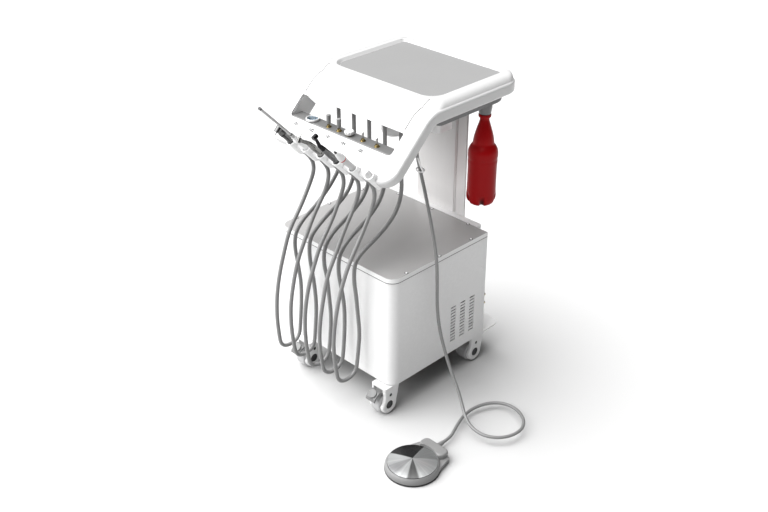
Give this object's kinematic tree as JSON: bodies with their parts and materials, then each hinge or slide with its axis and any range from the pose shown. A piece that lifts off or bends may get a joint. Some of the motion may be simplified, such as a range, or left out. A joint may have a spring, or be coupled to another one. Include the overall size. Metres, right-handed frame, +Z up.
{
  "type": "portable dental unit",
  "caption": "Mobile dental treatment unit: cabinet on casters, column, instrument head with tray and handpieces, water bottle and foot control.",
  "frame": {"origin": "on the floor under the middle of the cabinet", "axes": "+Z up, -Y towards the operator's side with the handpieces, +X to the bottle's side"},
  "size_m": [0.772, 0.669, 0.8777],
  "materials": {
    "white_paint": "satin",
    "grey_paint": "satin",
    "galvanised": "satin",
    "brushed_aluminium": "brushed",
    "white_moulding": "gloss",
    "grey_moulding": "matte",
    "dark_moulding": "matte",
    "mat_rubber": "matte",
    "brass": "satin",
    "steel": "satin",
    "dark_steel": "satin",
    "chrome": "polished",
    "clear_glass": "clear",
    "hose_rubber": "satin",
    "black_rubber": "matte",
    "tyre_rubber": "matte",
    "red_bottle": "gloss",
    "cast_metal": "cast"
  },
  "bodies": {
    "unit": {"cabinet_shell": "white_paint", "top_plate": "grey_paint", "base_plate": "grey_paint", "rear_cover": "white_paint", "inlet_fittings": "brass", "mains_socket": "dark_moulding", "compressor": "cast_metal", "air_tank": "white_paint", "suction_pump": "cast_metal", "fan_frame": "dark_moulding", "column": "brushed_aluminium", "head_shell": "white_moulding", "fascia": "white_moulding", "tray_mat": "mat_rubber", "under_pan": "grey_moulding", "valve_box": "white_moulding", "filter_bowl": "grey_moulding", "hose_manifold": "grey_moulding", "control_ledge": "grey_paint", "gauge_case": "white_moulding", "gauge_lens": "clear_glass", "valve_bushes": "brass", "holder_rail": "white_moulding", "hose_hook": "white_paint", "bottle_cap": "grey_moulding", "pedal_foot_ring": "black_rubber", "pedal_base": "grey_moulding", "caster_sockets": "galvanised", "hose_1": "hose_rubber", "hose_2": "hose_rubber", "hose_3": "hose_rubber", "hose_4": "hose_rubber", "hose_5": "hose_rubber", "pedal_hose": "hose_rubber"},
    "fan": {"fan_rotor": "dark_moulding"},
    "needle": {"gauge_needle": "dark_steel"},
    "knob": {"flow_knob": "white_moulding"},
    "bottle": {"water_bottle": "red_bottle"},
    "pedal_plate": {"pedal_dome": "chrome"},
    "lever_1": {"toggle_1": "grey_moulding"},
    "lever_2": {"toggle_2": "grey_moulding"},
    "lever_3": {"toggle_3": "steel"},
    "lever_4": {"toggle_4": "steel"},
    "tool_1": {"handpiece_1_motor": "dark_steel"},
    "tool_2": {"handpiece_2_suction": "white_moulding", "handpiece_2_straw": "grey_moulding"},
    "tool_3": {"handpiece_3_contra_angle": "steel"},
    "tool_4": {"handpiece_4_turbine": "steel"},
    "tool_5": {"handpiece_5_handle": "white_moulding", "handpiece_5_nose": "white_moulding"},
    "fork_front_right": {"caster_fork_front_right": "white_moulding"},
    "wheel_front_right": {"caster_wheel_front_right": "tyre_rubber"},
    "brake_front_right": {"caster_brake_front_right": "grey_moulding"},
    "fork_front_left": {"caster_fork_front_left": "white_moulding"},
    "wheel_front_left": {"caster_wheel_front_left": "tyre_rubber"},
    "brake_front_left": {"caster_brake_front_left": "grey_moulding"},
    "fork_rear_right": {"caster_fork_rear_right": "white_moulding"},
    "wheel_rear_right": {"caster_wheel_rear_right": "tyre_rubber"},
    "fork_rear_left": {"caster_fork_rear_left": "white_moulding"},
    "wheel_rear_left": {"caster_wheel_rear_left": "tyre_rubber"}
  },
  "joints": [
    {"name": "fan_spin", "type": "hinge", "parent": "unit", "child": "fan", "pos_m": [0.1927, 0.095, 0.188], "axis": [1, 0, 0], "continuous": true},
    {"name": "gauge_needle_turn", "type": "hinge", "parent": "unit", "child": "needle", "pos_m": [-0.118, -0.146, 0.7654], "axis": [0, 0, 1], "range_deg": [-250, 0]},
    {"name": "flow_knob_turn", "type": "hinge", "parent": "unit", "child": "knob", "pos_m": [0.022, -0.146, 0.77], "axis": [0, 0, 1], "range_deg": [-150, 150]},
    {"name": "toggle_1_throw", "type": "hinge", "parent": "unit", "child": "lever_1", "pos_m": [-0.055, -0.146, 0.7676], "axis": [1, 0, 0], "range_deg": [-11, 11]},
    {"name": "toggle_2_throw", "type": "hinge", "parent": "unit", "child": "lever_2", "pos_m": [-0.016, -0.146, 0.7676], "axis": [1, 0, 0], "range_deg": [-11, 11]},
    {"name": "toggle_3_throw", "type": "hinge", "parent": "unit", "child": "lever_3", "pos_m": [0.072, -0.146, 0.7676], "axis": [1, 0, 0], "range_deg": [-11, 11]},
    {"name": "toggle_4_throw", "type": "hinge", "parent": "unit", "child": "lever_4", "pos_m": [0.122, -0.146, 0.7676], "axis": [1, 0, 0], "range_deg": [-11, 11]},
    {"name": "tool_1_lift", "type": "slide", "parent": "unit", "child": "tool_1", "axis": [0, -0.6947, 0.7193], "range_m": [0, 0.045]},
    {"name": "tool_2_lift", "type": "slide", "parent": "unit", "child": "tool_2", "axis": [0, -0.6947, 0.7193], "range_m": [0, 0.045]},
    {"name": "tool_3_lift", "type": "slide", "parent": "unit", "child": "tool_3", "axis": [0, -0.6947, 0.7193], "range_m": [0, 0.045]},
    {"name": "tool_4_lift", "type": "slide", "parent": "unit", "child": "tool_4", "axis": [0, -0.6947, 0.7193], "range_m": [0, 0.045]},
    {"name": "tool_5_lift", "type": "slide", "parent": "unit", "child": "tool_5", "axis": [0, -0.6947, 0.7193], "range_m": [0, 0.045]},
    {"name": "bottle_unscrew", "type": "hinge", "parent": "unit", "child": "bottle", "pos_m": [0.189, 0.188, 0.765], "axis": [0, 0, -1], "range_deg": [0, 360]},
    {"name": "pedal_press", "type": "slide", "parent": "unit", "child": "pedal_plate", "axis": [0, 0, -1], "range_m": [0, 0.004], "stiffness_N_per_m": 2500, "springref_m": -0.003},
    {"name": "swivel_front_right", "type": "hinge", "parent": "unit", "child": "fork_front_right", "pos_m": [0.1866, -0.168, 0.0895], "axis": [0, 0, 1], "continuous": true},
    {"name": "roll_front_right", "type": "hinge", "parent": "fork_front_right", "child": "wheel_front_right", "pos_m": [0.1866, -0.19, 0.032], "axis": [1, 0, 0], "continuous": true},
    {"name": "brake_press_front_right", "type": "hinge", "parent": "fork_front_right", "child": "brake_front_right", "pos_m": [0.1866, -0.201, 0.0755], "axis": [1, 0, 0], "range_deg": [0, 14]},
    {"name": "swivel_front_left", "type": "hinge", "parent": "unit", "child": "fork_front_left", "pos_m": [-0.125, -0.168, 0.0895], "axis": [0, 0, 1], "continuous": true},
    {"name": "roll_front_left", "type": "hinge", "parent": "fork_front_left", "child": "wheel_front_left", "pos_m": [-0.125, -0.19, 0.032], "axis": [1, 0, 0], "continuous": true},
    {"name": "brake_press_front_left", "type": "hinge", "parent": "fork_front_left", "child": "brake_front_left", "pos_m": [-0.125, -0.201, 0.0755], "axis": [1, 0, 0], "range_deg": [0, 14]},
    {"name": "swivel_rear_right", "type": "hinge", "parent": "unit", "child": "fork_rear_right", "pos_m": [0.1866, 0.1885, 0.0895], "axis": [0, 0, 1], "continuous": true},
    {"name": "roll_rear_right", "type": "hinge", "parent": "fork_rear_right", "child": "wheel_rear_right", "pos_m": [0.1866, 0.1665, 0.032], "axis": [1, 0, 0], "continuous": true},
    {"name": "swivel_rear_left", "type": "hinge", "parent": "unit", "child": "fork_rear_left", "pos_m": [-0.125, 0.1885, 0.0895], "axis": [0, 0, 1], "continuous": true},
    {"name": "roll_rear_left", "type": "hinge", "parent": "fork_rear_left", "child": "wheel_rear_left", "pos_m": [-0.125, 0.1665, 0.032], "axis": [1, 0, 0], "continuous": true}
  ]
}
